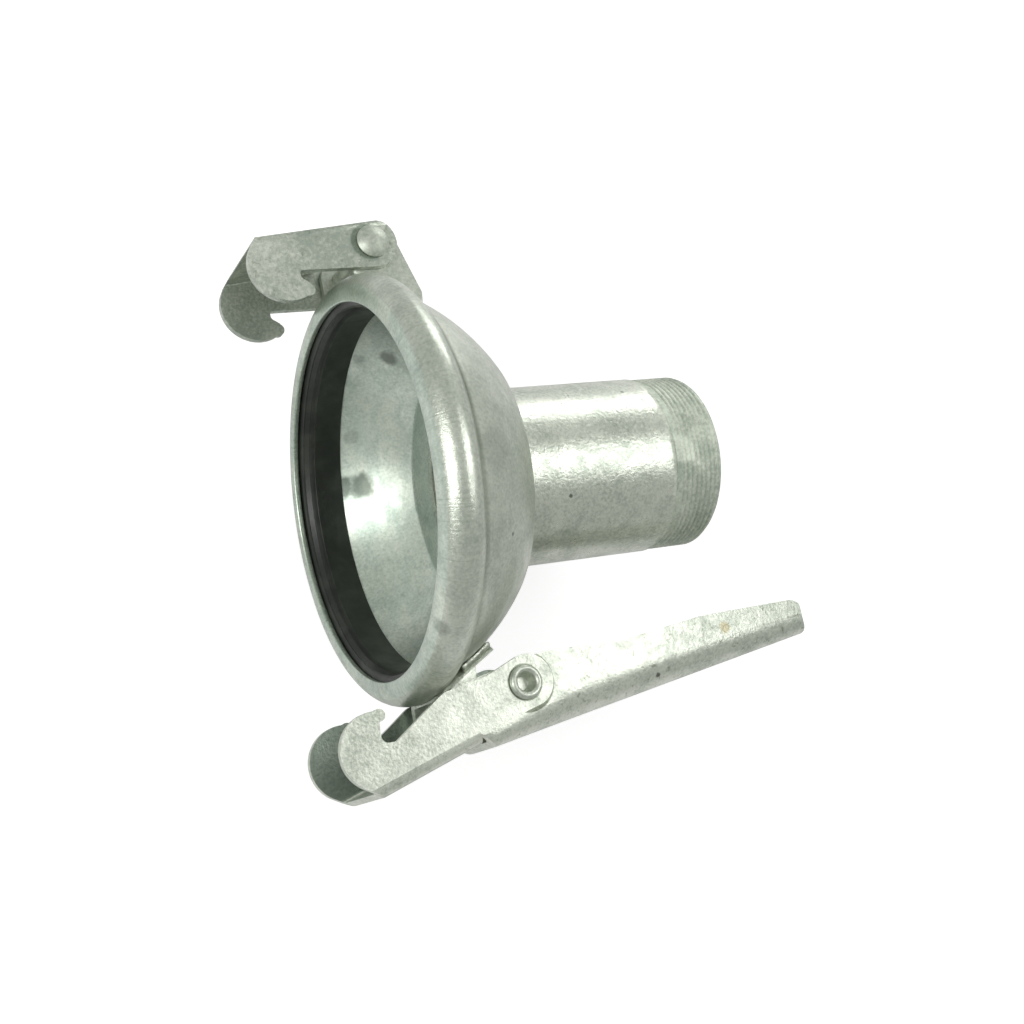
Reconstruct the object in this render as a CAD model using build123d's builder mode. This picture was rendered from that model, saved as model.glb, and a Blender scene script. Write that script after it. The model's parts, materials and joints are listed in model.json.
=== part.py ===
from build123d import *
from math import acos, asin, atan2, cos, degrees, hypot, radians, sin, sqrt
import os

os.makedirs("parts", exist_ok=True)

# Socket half of a lever coupling for irrigation pipe, galvanised steel, in millimetres.
# X runs along the pipe, from the mouth plane at x = 0 towards the thread.
# Y points from the pipe axis to the swing hook, and Z lies along the hinge rivets.

# Pressed bowl: a rolled bead round the mouth, a spherical wall and a flat floor behind
mouth_radius = 76.6
lip_depth = 2.4
lip_rounding = 0.8
bead_radius = 9.0
bowl_margin = 10.4
bowl_centre_x = -14.7
bowl_depth = 51.8
bowl_wall = 3.0
floor_bend = 2.0

# Pipe stub with its male pipe thread
pipe_diameter = 76.1
pipe_wall = 3.65
thread_diameter = 75.184
thread_length = 23.0
thread_run_out = 1.2
thread_chamfer = 1.4
overall_length = 152.3
weld_leg = 3.0
weld_bulge = 0.56
weld_gap = 0.12

# Rubber lip seal in the hollow of the bead, measured inwards from the steel mouth
seal_clearance = 0.3
seal_front_x = 4.6
seal_front_inset = 2.0
seal_lip_inset = 3.4
seal_shoulder = 3.4
seal_tail_x = 21.7
seal_tail_thickness = 0.6
seal_rib_depth = 0.8
seal_rib_pitch = 1.2

# Folded sheet, rivets and the gaps between moving pieces
sheet = 3.0
side_gap = 0.4
link_gap = 0.3
head_gap = 0.3
pin_clearance = 0.05
trim_margin = 1.0
pivot_x = 18.4
hook_rivet_radius = 4.0
hook_rivet_head_radius = 6.9
hook_rivet_head_height = 3.4
hook_rivet_head_rim = 0.6
lever_pin_radius = 4.0
lever_pin_head_radius = 5.4
lever_pin_head_depth = 1.3
lever_pin_land = 0.2
lever_pin_inset = 0.9
link_rivet_radius = 4.6
link_rivet_head_radius = 7.0
link_rivet_head_height = 1.9
link_rivet_bore_radius = 3.9
link_rivet_foot_radius = 2.7
link_rivet_bore_depth = 6.0
link_rivet_rim_edge = 0.5

# Swing hook, measured from its pivot: forwards to the mouth and down to the pipe axis
hook_pivot_rise = 11.0
hook_angle = 6.9
hook_half_width = 23.3
hook_bend = 3.6
hook_length = 80.0
hook_cheek_depth = 45.0
hook_web_height = 10.0
hook_web_front = 47.5
hook_web_rear = 9.5
hook_cut_length = 40.0
hook_cut_depth = 60.0
hook_end_radius = 10.8
hook_brow_reach = 3.7
hook_brow_drop = 4.2
hook_head_forward = 38.9
hook_head_drop = 9.0
hook_head_radius = 15.1
hook_root_forward = 33.3
hook_root_drop = 11.5
hook_root_width = 3.2
hook_root_radius = 1.0
hook_root_fillet = 2.0
hook_tip_forward = 30.9
hook_tip_drop = 19.8
hook_tip_radius = 2.55

# Brackets: folded channels whose base sits on the bowl behind the bead
bracket_seat_angle = 60.0
bracket_bend = 4.0
bracket_length = 40.0
bracket_cheek_depth = 40.0
bracket_weld_radius = 2.8
bracket_weld_inset = 0.4
bracket_weld_front = 4.0
bracket_weld_rear = 6.5
hook_bracket_radius = 9.0
hook_bracket_rear = 9.5
hook_brow_x = 12.1
hook_brow_rise = 0.5
hook_brow_rounding = 4.0
hook_corner_back = 0.9
hook_corner_rise = 8.1
hook_corner_rounding = 1.2
lever_bracket_radius = 7.9
lever_bracket_rear = 10.3
lever_bracket_knee = 10.6
lever_bracket_foot = 0.4

# Lever: its two hinges, then its outline along and above the line through the link rivet
lever_pivot_drop = 9.6
link_pivot_back = 28.1
link_pivot_rise = 9.5
lever_angle = 8.6
lever_half_width = 17.1
lever_end_half_width = 14.6
lever_front_bend = 6.0
lever_bend = 11.5
lever_end_bend = 8.0
lever_web_drop = 20.0
lever_web_front = 18.0
lever_front_rounding = 3.0
lever_front_length = 60.0
lever_cheek_depth = 42.0
lever_eye_radius = 7.4
lever_brow_forward = 2.6
lever_brow_rise = 12.25
lever_brow_rounding = 3.0
lever_saddle_back = 11.3
lever_saddle_up = 9.5
lever_waist_back = 55.9
lever_waist_up = 3.0
lever_crown_back = 92.1
lever_crown_up = 1.9
lever_edge_radius = 40.0
lever_crown_radius = 80.0
lever_length = 146.3
lever_end_drop = 5.2
lever_end_lean = 2.3
lever_end_rounding = 8.5
lever_blank_length = 300.0
lever_blank_depth = 140.0

# Hook link, measured forwards from its rivet and up from its own line
link_angle = 16.7
link_bend = 4.6
link_length = 90.0
link_cheek_depth = 45.0
link_web_drop = 13.2
link_web_front = 72.5
link_web_rear = 27.0
link_web_gap = 0.8
link_front_rounding = 2.0
link_edge_drop = 9.6
link_eye_radius = 10.6
link_eye_back = 2.0
link_head_forward = 67.6
link_head_up = 3.5
link_head_radius = 15.0
link_shoulder_forward = 13.5
link_shoulder_up = 9.3
link_shoulder_radius = 27.0
link_neck_forward = 33.4
link_neck_up = 11.4
link_neck_radius = 9.0
link_notch_forward = 59.3
link_notch_up = 3.4
link_notch_depth = 6.0
link_notch_rise = 1.8
link_notch_radius = 3.0
link_tip_forward = 61.1
link_tip_up = 15.2
link_tip_radius = 2.5

# Radii and centres that follow from the mouth and the pipe
bead_ring_radius = mouth_radius + lip_depth
bead_centre = Vector(bead_radius, bead_ring_radius)
bead_outer_radius = bead_ring_radius + bead_radius
bowl_radius = mouth_radius + bowl_margin
bowl_inner = bowl_radius - bowl_wall
floor_x = bowl_depth - bowl_wall
pipe_radius = pipe_diameter / 2
pipe_bore_radius = pipe_radius - pipe_wall
thread_radius = thread_diameter / 2

# Widths that follow from the sheet and the gaps
hook_inner = hook_half_width - sheet
hook_bracket_half = hook_inner - side_gap
link_inner = lever_half_width + link_gap
link_half_width = link_inner + sheet
link_cheek_drop = link_web_drop - link_bend
lever_bracket_half = lever_half_width - sheet - side_gap

# Hinge axes
hook_pivot = Vector(pivot_x, bead_outer_radius + hook_pivot_rise)
lever_pivot = Vector(pivot_x, -bead_outer_radius - lever_pivot_drop)
link_pivot = Vector(lever_pivot.X + link_pivot_back, lever_pivot.Y + link_pivot_rise)


def floor_angle(shell, x):
    """Angle on the sphere at which it meets the plane of the flat floor."""
    return degrees(acos((x - bowl_centre_x) / shell))


def bead_junction(shell, tube):
    """Angle on the sphere at which it runs into the back of the bead."""
    reach = hypot(bead_centre.X - bowl_centre_x, bead_centre.Y)
    middle = degrees(atan2(bead_centre.Y, bead_centre.X - bowl_centre_x))
    half = degrees(acos((shell * shell - tube * tube + reach * reach) / (2 * reach * shell)))
    return middle - half


def bead_angle(shell, angle):
    """Angle about the bead's own centre of a point on the sphere."""
    x = bowl_centre_x + shell * cos(radians(angle))
    y = shell * sin(radians(angle))
    return degrees(atan2(y - bead_centre.Y, x - bead_centre.X))


def local(origin, angle, along, up):
    """Point given along and across a line that leaves origin at an angle."""
    turn = radians(angle)
    x = origin.X + along * cos(turn) - up * sin(turn)
    y = origin.Y + along * sin(turn) + up * cos(turn)
    return Vector(x, y)


def hook_point(forward, drop):
    """Point of the swing hook, forwards from its pivot and down from it."""
    return Vector(hook_pivot.X - forward, hook_pivot.Y - drop)


def lever_point(back, up):
    """Point of the lever, back from the link's rivet and up from the lever's line."""
    return local(link_pivot, lever_angle, back, up)


def link_point(forward, up):
    """Point of the hook link, forwards from its rivet and up from its line."""
    return local(link_pivot, link_angle, -forward, up)


def tangent_point(centre, radius, point, side):
    """Point of a circle whose tangent passes through an outside point, on side 1 or -1."""
    reach = point - centre
    turn = atan2(reach.Y, reach.X) + side * acos(radius / hypot(reach.X, reach.Y))
    return Vector(centre.X + radius * cos(turn), centre.Y + radius * sin(turn))


def pair(point):
    """The two sketch coordinates of a point."""
    return (point.X, point.Y)


def channel_section(plane, half_width, depth, bend):
    """Open folded section on a plane: web on the local x axis, cheeks along local +y."""
    inner = half_width - sheet
    left_end = (-half_width, depth)
    right_end = (half_width, depth)
    left_lip = (-inner, depth)
    right_lip = (inner, depth)
    with BuildSketch(plane) as section:
        with BuildLine():
            FilletPolyline(left_end, (-half_width, 0), (half_width, 0), right_end, radius=bend)
            Line(right_end, left_end)
        make_face()
        with BuildLine():
            FilletPolyline(left_lip, (-inner, sheet), (inner, sheet), right_lip, radius=bend - sheet)
            Line(right_lip, left_lip)
        make_face(mode=Mode.SUBTRACT)
    return section.sketch


def web_plane(point, run_angle):
    """Plane across a folded web, with local y pointing into the channel at its right hand side."""
    turn = radians(run_angle)
    return Plane(origin=(point.X, point.Y, 0), x_dir=(0, 0, 1), z_dir=(cos(turn), sin(turn), 0))


def corner(outline, point):
    """Vertex of a sketch that lies nearest to a point."""
    return outline.vertices().sort_by_distance(point)[0]


def bowl_envelope(gap):
    """Filled outline of the bowl, grown by a gap, which trims what is welded to it."""
    shell = bowl_radius + gap
    tube = bead_radius + gap
    junction = bead_junction(shell, tube)
    start = bead_angle(shell, junction)
    with BuildPart() as envelope:
        with BuildSketch(Plane.XY):
            with BuildLine():
                sphere = CenterArc((bowl_centre_x, 0), shell, 0, junction)
                bead = CenterArc(pair(bead_centre), tube, start, 180 - start)
                Polyline(bead @ 1, ((bead @ 1).X, 0), sphere @ 0)
            make_face()
        revolve(axis=Axis.X)
    return envelope.part


# Bowl: bead and lip round the mouth, spherical wall, flat floor with the hole for the pipe
hole_radius = pipe_radius + weld_gap
hollow_radius = bead_radius - bowl_wall
outer_floor = floor_angle(bowl_radius, bowl_depth)
inner_floor = floor_angle(bowl_inner, floor_x)
outer_junction = bead_junction(bowl_radius, bead_radius)
inner_junction = bead_junction(bowl_inner, hollow_radius)
outer_start = bead_angle(bowl_radius, outer_junction)
inner_start = bead_angle(bowl_inner, inner_junction)
lip_angle = 180 + degrees(asin(lip_depth / bead_radius))

with BuildPart() as bowl:
    with BuildSketch(Plane.XY) as bowl_section:
        with BuildLine():
            outside = CenterArc((bowl_centre_x, 0), bowl_radius, outer_floor, outer_junction - outer_floor)
            bead_outside = CenterArc(pair(bead_centre), bead_radius, outer_start, lip_angle - outer_start)
            bead_inside = CenterArc(pair(bead_centre), hollow_radius, inner_start, lip_angle - inner_start)
            inside = CenterArc((bowl_centre_x, 0), bowl_inner, inner_floor, inner_junction - inner_floor)
            Line(bead_outside @ 1, bead_inside @ 1)
            Polyline(inside @ 0, (floor_x, hole_radius), (bowl_depth, hole_radius), outside @ 0)
        make_face()
        for lip in (bead_outside @ 1, bead_inside @ 1):
            fillet(corner(bowl_section, lip), radius=lip_rounding)
        fillet(corner(bowl_section, outside @ 0), radius=floor_bend + bowl_wall)
        fillet(corner(bowl_section, inside @ 0), radius=floor_bend)
    revolve(axis=Axis.X)
bowl.part.label = "bowl"
export_step(bowl.part, "parts/bowl.step")

# Lip seal: a round root held in the bead and a wide lip along the inside of the bowl
root_radius = hollow_radius - seal_clearance
tail_shell = bowl_inner - seal_clearance
seal_lip_radius = mouth_radius - seal_lip_inset
shoulder_x = bead_centre.X + seal_shoulder
middle_x = (shoulder_x + seal_tail_x) / 2
middle_radius = sqrt(tail_shell ** 2 - (middle_x - bowl_centre_x) ** 2)
tail_radius = sqrt(tail_shell ** 2 - (seal_tail_x - bowl_centre_x) ** 2)
shoulder = (shoulder_x, bead_ring_radius)

with BuildPart() as seal_ring:
    with BuildSketch(Plane.XY):
        with Locations(pair(bead_centre)):
            Circle(root_radius)
        with BuildLine():
            tail = ThreePointArc(shoulder, (middle_x, middle_radius), (seal_tail_x, tail_radius))
            Polyline(
                tail @ 1,
                (seal_tail_x, tail_radius - seal_tail_thickness),
                (bead_centre.X, seal_lip_radius),
                (bead_centre.X - seal_rib_pitch, seal_lip_radius + seal_rib_depth),
                (bead_centre.X - 2 * seal_rib_pitch, seal_lip_radius + seal_rib_depth / 2),
                (seal_front_x, mouth_radius - seal_front_inset),
                (seal_front_x, bead_ring_radius),
                tail @ 0,
            )
        make_face()
    revolve(axis=Axis.X)
seal_ring.part.label = "seal_ring"
export_step(seal_ring.part, "parts/seal_ring.step")

# Pipe stub: plain tube set into the floor of the bowl, turned down where the thread is cut
thread_start = overall_length - thread_length

with BuildPart() as threaded_pipe:
    with BuildSketch(Plane.XY):
        with BuildLine():
            Polyline(
                (floor_x, pipe_bore_radius),
                (floor_x, pipe_radius),
                (thread_start, pipe_radius),
                (thread_start + thread_run_out, thread_radius),
                (overall_length - thread_chamfer, thread_radius),
                (overall_length, thread_radius - thread_chamfer),
                (overall_length, pipe_bore_radius),
                (floor_x, pipe_bore_radius),
            )
        make_face()
    revolve(axis=Axis.X)
threaded_pipe.part.label = "threaded_pipe"
export_step(threaded_pipe.part, "parts/threaded_pipe.step")

# Fillet weld round the pipe where it leaves the floor
weld_x = bowl_depth + weld_gap
weld_foot = pipe_radius + weld_gap
weld_middle = weld_leg * weld_bulge

with BuildPart() as pipe_weld:
    with BuildSketch(Plane.XY):
        with BuildLine():
            toe = (weld_x + weld_leg, weld_foot)
            crown = (weld_x, weld_foot + weld_leg)
            Polyline(toe, (weld_x, weld_foot), crown)
            ThreePointArc(crown, (weld_x + weld_middle, weld_foot + weld_middle), toe)
        make_face()
    revolve(axis=Axis.X)
pipe_weld.part.label = "pipe_weld"
export_step(pipe_weld.part, "parts/pipe_weld.step")


def bracket_seat(side, half_width):
    """Plane of a bracket's base: it touches the bowl and is let in by half the bowl's fall across it."""
    sink = (bowl_radius - sqrt(bowl_radius ** 2 - half_width ** 2)) / 2
    turn = radians(bracket_seat_angle)
    reach = bowl_radius - sink
    point = Vector(bowl_centre_x + reach * cos(turn), side * reach * sin(turn))
    return web_plane(point, 90 + side * bracket_seat_angle)


def bracket_welds(side, half_width):
    """Weld beads that follow the bowl along both sides of a bracket's base."""
    with BuildPart() as welds:
        for face in (1, -1):
            level = face * (half_width - bracket_weld_inset)
            ring = sqrt(bowl_radius ** 2 - level ** 2)
            first = side * (bracket_seat_angle + bracket_weld_front)
            last = side * (bracket_seat_angle - bracket_weld_rear)
            with BuildLine(Plane.XY.offset(level)):
                run = CenterArc((bowl_centre_x, 0), ring, first, last - first)
            with BuildSketch(Plane(origin=run @ 0, z_dir=run % 0)):
                Circle(bracket_weld_radius)
            sweep(path=run)
    return welds.part


trim = bowl_envelope(weld_gap)

# Bracket of the swing hook
hook_seat = bracket_seat(1, hook_bracket_half)
hook_base_end = hook_seat.from_local_coords((0, 0, -hook_bracket_rear))
hook_base_under = hook_seat.from_local_coords((0, -sheet, -hook_bracket_rear))
hook_corner = Vector(hook_base_end.X + hook_corner_back, hook_base_end.Y + hook_corner_rise)
hook_brow = Vector(hook_pivot.X + hook_brow_x, hook_pivot.Y + hook_brow_rise)

with BuildPart() as hook_bracket:
    hook_fold = channel_section(hook_seat, hook_bracket_half, bracket_cheek_depth, bracket_bend)
    extrude(hook_fold, amount=bracket_length, both=True)
    with BuildSketch(Plane.XY) as outline:
        with Locations(pair(hook_pivot)):
            Circle(hook_bracket_radius)
        with BuildLine():
            Polyline(
                (hook_pivot.X - hook_bracket_radius, hook_pivot.Y),
                (hook_pivot.X - hook_bracket_radius, bead_ring_radius),
                pair(hook_base_under),
                pair(hook_base_end),
                pair(hook_corner),
                pair(hook_brow),
                pair(tangent_point(hook_pivot, hook_bracket_radius, hook_brow, 1)),
                pair(hook_pivot),
                close=True,
            )
        make_face()
        fillet(corner(outline, hook_brow), radius=hook_brow_rounding)
        fillet(corner(outline, hook_corner), radius=hook_corner_rounding)
    extrude(amount=hook_bracket_half, both=True, mode=Mode.INTERSECT)
    with Locations(Plane.XY.offset(hook_bracket_half)):
        with Locations(pair(hook_pivot)):
            Hole(hook_rivet_radius + pin_clearance)
    add(trim, mode=Mode.SUBTRACT)
hook_bracket.part.label = "hook_bracket"
export_step(hook_bracket.part, "parts/hook_bracket.step")

# Swing hook: folded arm with two hooked cheeks, its web cut away round the bracket
hook_web_line = local(hook_pivot, hook_angle, 0, hook_web_height)
hook_front = local(hook_pivot, hook_angle, -hook_web_front, hook_web_height)
hook_brow_front = local(hook_front, hook_angle, -hook_brow_reach, -hook_brow_drop)
hook_root_top = hook_point(hook_root_forward, hook_root_drop)
hook_root_bottom = hook_point(hook_root_forward, hook_root_drop + hook_root_width)
hook_tip = hook_point(hook_tip_forward, hook_tip_drop)

with BuildPart() as swing_hook:
    hook_plane = web_plane(hook_web_line, hook_angle)
    hook_section = channel_section(hook_plane, hook_half_width, hook_cheek_depth, hook_bend)
    extrude(hook_section, amount=hook_length, both=True)
    with BuildSketch(Plane.XY) as outline:
        with Locations(pair(hook_point(hook_head_forward, hook_head_drop))):
            Circle(hook_head_radius)
        with Locations(pair(hook_pivot)):
            Circle(hook_end_radius)
        with BuildLine():
            Polyline(
                pair(local(hook_pivot, hook_angle, -hook_web_front, hook_web_height + trim_margin)),
                pair(local(hook_pivot, hook_angle, 0, hook_web_height + trim_margin)),
                pair(hook_pivot),
                pair(hook_point(0, hook_end_radius)),
                pair(hook_root_top),
                pair(hook_point(hook_head_forward, hook_head_drop)),
                pair(hook_brow_front),
                pair(hook_front),
                close=True,
            )
        make_face()
        with BuildLine():
            Polyline(
                pair(hook_root_top),
                pair(hook_root_bottom),
                pair(hook_point(hook_tip_forward - hook_tip_radius / 2, hook_tip_drop - hook_tip_radius)),
                pair(hook_point(hook_tip_forward - hook_tip_radius / 2, hook_tip_drop + hook_head_radius)),
                pair(hook_point(0, hook_tip_drop + hook_head_radius)),
                pair(hook_point(0, hook_end_radius)),
                close=True,
            )
        make_face(mode=Mode.SUBTRACT)
        fillet(corner(outline, hook_root_top), radius=hook_root_radius)
        fillet(corner(outline, hook_root_bottom), radius=hook_root_fillet)
        with Locations(pair(hook_tip)):
            Circle(hook_tip_radius)
    extrude(amount=hook_half_width, both=True, mode=Mode.INTERSECT)
    with BuildSketch(Plane.XY):
        with Locations(pair(local(hook_pivot, hook_angle, hook_cut_length / 2 - hook_web_rear, 0))):
            Rectangle(hook_cut_length, hook_cut_depth, rotation=hook_angle)
    extrude(amount=hook_inner, both=True, mode=Mode.SUBTRACT)
    with Locations(Plane.XY.offset(hook_half_width)):
        with Locations(pair(hook_pivot)):
            Hole(hook_rivet_radius + pin_clearance)
swing_hook.part.label = "swing_hook"
export_step(swing_hook.part, "parts/swing_hook.step")


def upright(pivot):
    """Plane through a hinge axis, with local y along the rivet."""
    return Plane(origin=(pivot.X, pivot.Y, 0), x_dir=(1, 0, 0), z_dir=(0, -1, 0))


def hinge_axis(pivot):
    """Axis of a rivet."""
    return Axis((pivot.X, pivot.Y, 0), (0, 0, 1))


# Rivet of the swing hook: a shank with a domed head on each side
hook_head_seat = hook_half_width + head_gap
hook_rivet_rise = hook_rivet_head_height - hook_rivet_head_rim
hook_dome_radius = (hook_rivet_head_radius ** 2 + hook_rivet_rise ** 2) / (2 * hook_rivet_rise)
hook_dome_centre = hook_head_seat + hook_rivet_head_height - hook_dome_radius
hook_dome_start = degrees(acos(hook_rivet_head_radius / hook_dome_radius))

with BuildPart() as hook_rivet:
    with BuildSketch(upright(hook_pivot)):
        with BuildLine():
            dome = CenterArc((0, hook_dome_centre), hook_dome_radius, hook_dome_start, 90 - hook_dome_start)
            Polyline(
                dome @ 1,
                (0, 0),
                (hook_rivet_radius, 0),
                (hook_rivet_radius, hook_head_seat),
                (hook_rivet_head_radius, hook_head_seat),
                dome @ 0,
            )
        make_face()
    revolve(axis=hinge_axis(hook_pivot))
    mirror(about=Plane.XY)
hook_rivet.part.label = "hook_rivet"
export_step(hook_rivet.part, "parts/hook_rivet.step")

hook_welds = bracket_welds(1, hook_bracket_half)
with BuildPart() as hook_bracket_welds:
    add(hook_welds)
    add(trim, mode=Mode.SUBTRACT)
    add(hook_bracket.part, mode=Mode.SUBTRACT)
hook_bracket_welds.part.label = "hook_bracket_welds"
export_step(hook_bracket_welds.part, "parts/hook_bracket_welds.step")

# Bracket of the lever
lever_seat = bracket_seat(-1, lever_bracket_half)
lever_base_end = lever_seat.from_local_coords((0, 0, lever_bracket_rear))
lever_base_under = lever_seat.from_local_coords((0, -sheet, lever_bracket_rear))
foot_height = sheet + lever_bracket_foot
lever_cheek_end = lever_seat.from_local_coords((0, foot_height, lever_bracket_rear))
lever_knee = lever_seat.from_local_coords((0, foot_height, lever_bracket_rear - lever_bracket_knee))

with BuildPart() as lever_bracket:
    lever_fold = channel_section(lever_seat, lever_bracket_half, bracket_cheek_depth, bracket_bend)
    extrude(lever_fold, amount=bracket_length, both=True)
    with BuildSketch(Plane.XY):
        with Locations(pair(lever_pivot)):
            Circle(lever_bracket_radius)
        with BuildLine():
            Polyline(
                (lever_pivot.X - lever_bracket_radius, lever_pivot.Y),
                (lever_pivot.X - lever_bracket_radius, -bead_ring_radius),
                pair(lever_base_under),
                pair(lever_base_end),
                pair(lever_cheek_end),
                pair(lever_knee),
                (lever_pivot.X + lever_bracket_radius, lever_pivot.Y),
                close=True,
            )
        make_face()
    extrude(amount=lever_bracket_half, both=True, mode=Mode.INTERSECT)
    with Locations(Plane.XY.offset(lever_bracket_half)):
        with Locations(pair(lever_pivot)):
            Hole(lever_pin_radius + pin_clearance)
    add(trim, mode=Mode.SUBTRACT)
lever_bracket.part.label = "lever_bracket"
export_step(lever_bracket.part, "parts/lever_bracket.step")

lever_welds = bracket_welds(-1, lever_bracket_half)
with BuildPart() as lever_bracket_welds:
    add(lever_welds)
    add(trim, mode=Mode.SUBTRACT)
    add(lever_bracket.part, mode=Mode.SUBTRACT)
lever_bracket_welds.part.label = "lever_bracket_welds"
export_step(lever_bracket_welds.part, "parts/lever_bracket_welds.step")


def lever_section(along, half_width, bend):
    """Section of the handle at a distance behind the link rivet."""
    plane = web_plane(lever_point(along, -lever_web_drop), 180 + lever_angle)
    return channel_section(plane, half_width, lever_cheek_depth, bend)


def lever_pin_solid(grow, rim):
    """Flush countersunk rivet of the lever, grown by a clearance, with a straight rim above."""
    shank = lever_pin_radius + grow
    head = lever_pin_head_radius + grow
    seat = lever_half_width - lever_pin_inset - lever_pin_head_depth - 2 * grow
    edge = seat + lever_pin_head_depth - lever_pin_land
    with BuildPart() as pin:
        with BuildSketch(upright(lever_pivot)):
            with BuildLine():
                Polyline(
                    (0, 0),
                    (shank, 0),
                    (shank, seat),
                    (head, edge),
                    (head, edge + rim),
                    (0, edge + rim),
                    close=True,
                )
            make_face()
        revolve(axis=hinge_axis(lever_pivot))
        mirror(about=Plane.XY)
    return pin.part


# Lever: long folded handle that gets narrower and flatter towards its rounded end
lever_middle = lever_length / 2
lever_tail = lever_length + lever_end_rounding
lever_brow = Vector(lever_pivot.X - lever_brow_forward, lever_pivot.Y + lever_brow_rise)
lever_saddle = lever_point(lever_saddle_back, lever_saddle_up)
lever_waist = lever_point(lever_waist_back, lever_waist_up)
lever_crown = lever_point(lever_crown_back, lever_crown_up)
lever_end = lever_point(lever_length, -lever_end_drop)
lever_front = lever_point(-lever_web_front, -lever_web_drop)
pin_recess = lever_pin_solid(pin_clearance, sheet)

with BuildPart() as lever:
    loft(
        sections=[
            lever_section(-lever_front_length, lever_half_width, lever_front_bend).face(),
            lever_section(-lever_web_front, lever_half_width, lever_front_bend).face(),
            lever_section(lever_web_front, lever_half_width, lever_bend).face(),
            lever_section(lever_middle, lever_half_width, lever_bend).face(),
            lever_section(lever_tail, lever_end_half_width, lever_end_bend).face(),
        ],
        ruled=True,
    )
    with BuildSketch(Plane.XY) as outline:
        with Locations(pair(lever_pivot)):
            Circle(lever_eye_radius)
        with BuildLine():
            Polyline(
                pair(tangent_point(lever_pivot, lever_eye_radius, lever_brow, 1)),
                pair(lever_brow),
                pair(lever_saddle),
                pair(lever_waist),
                pair(lever_crown),
                pair(lever_end),
                pair(lever_point(lever_length - lever_end_lean, -lever_web_drop - trim_margin)),
                pair(lever_front),
                pair(link_point(link_web_rear - link_web_gap, side_gap - link_cheek_drop)),
                pair(local(lever_pivot, link_angle - 90, lever_eye_radius, 0)),
                close=True,
            )
        make_face()
        fillet(corner(outline, lever_brow), radius=lever_brow_rounding)
        fillet([corner(outline, lever_saddle), corner(outline, lever_waist)], radius=lever_edge_radius)
        fillet(corner(outline, lever_crown), radius=lever_crown_radius)
        fillet(corner(outline, lever_end), radius=lever_end_rounding)
        fillet(corner(outline, lever_front), radius=lever_front_rounding)
    extrude(amount=lever_half_width, both=True, mode=Mode.INTERSECT)
    with BuildSketch(Plane.XZ) as plan:
        with Locations((lever_end.X - lever_blank_length / 2, 0)):
            Rectangle(lever_blank_length, 2 * lever_half_width)
        fillet(plan.vertices().group_by(Axis.X)[-1], radius=lever_end_rounding)
    extrude(amount=lever_blank_depth, both=True, mode=Mode.INTERSECT)
    with Locations(Plane.XY.offset(lever_half_width)):
        with Locations(pair(link_pivot)):
            Hole(link_rivet_radius + pin_clearance)
        with Locations(pair(lever_pivot)):
            Hole(lever_pin_radius + pin_clearance)
    add(pin_recess, mode=Mode.SUBTRACT)
lever.part.label = "lever"
export_step(lever.part, "parts/lever.step")

with BuildPart() as lever_pin:
    add(lever_pin_solid(0, lever_pin_land))
lever_pin.part.label = "lever_pin"
export_step(lever_pin.part, "parts/lever_pin.step")

# Hook link: folded channel with a hooked head in front, whose web ends short of the lever
link_foot = link_point(0, -link_web_drop)
link_head = link_point(link_head_forward, link_head_up)
link_eye = link_point(-link_eye_back, 0)
link_front = link_point(link_web_front, -link_web_drop)
link_shoulder = link_point(link_shoulder_forward, link_shoulder_up)
link_neck = link_point(link_neck_forward, link_neck_up)
notch_rear = link_point(link_notch_forward, link_notch_up)
notch_front = link_point(link_notch_forward + link_notch_depth, link_notch_up + link_notch_rise)
notch_open_up = link_head_up + 2 * link_head_radius
link_tail = -2 * link_eye_radius

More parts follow.
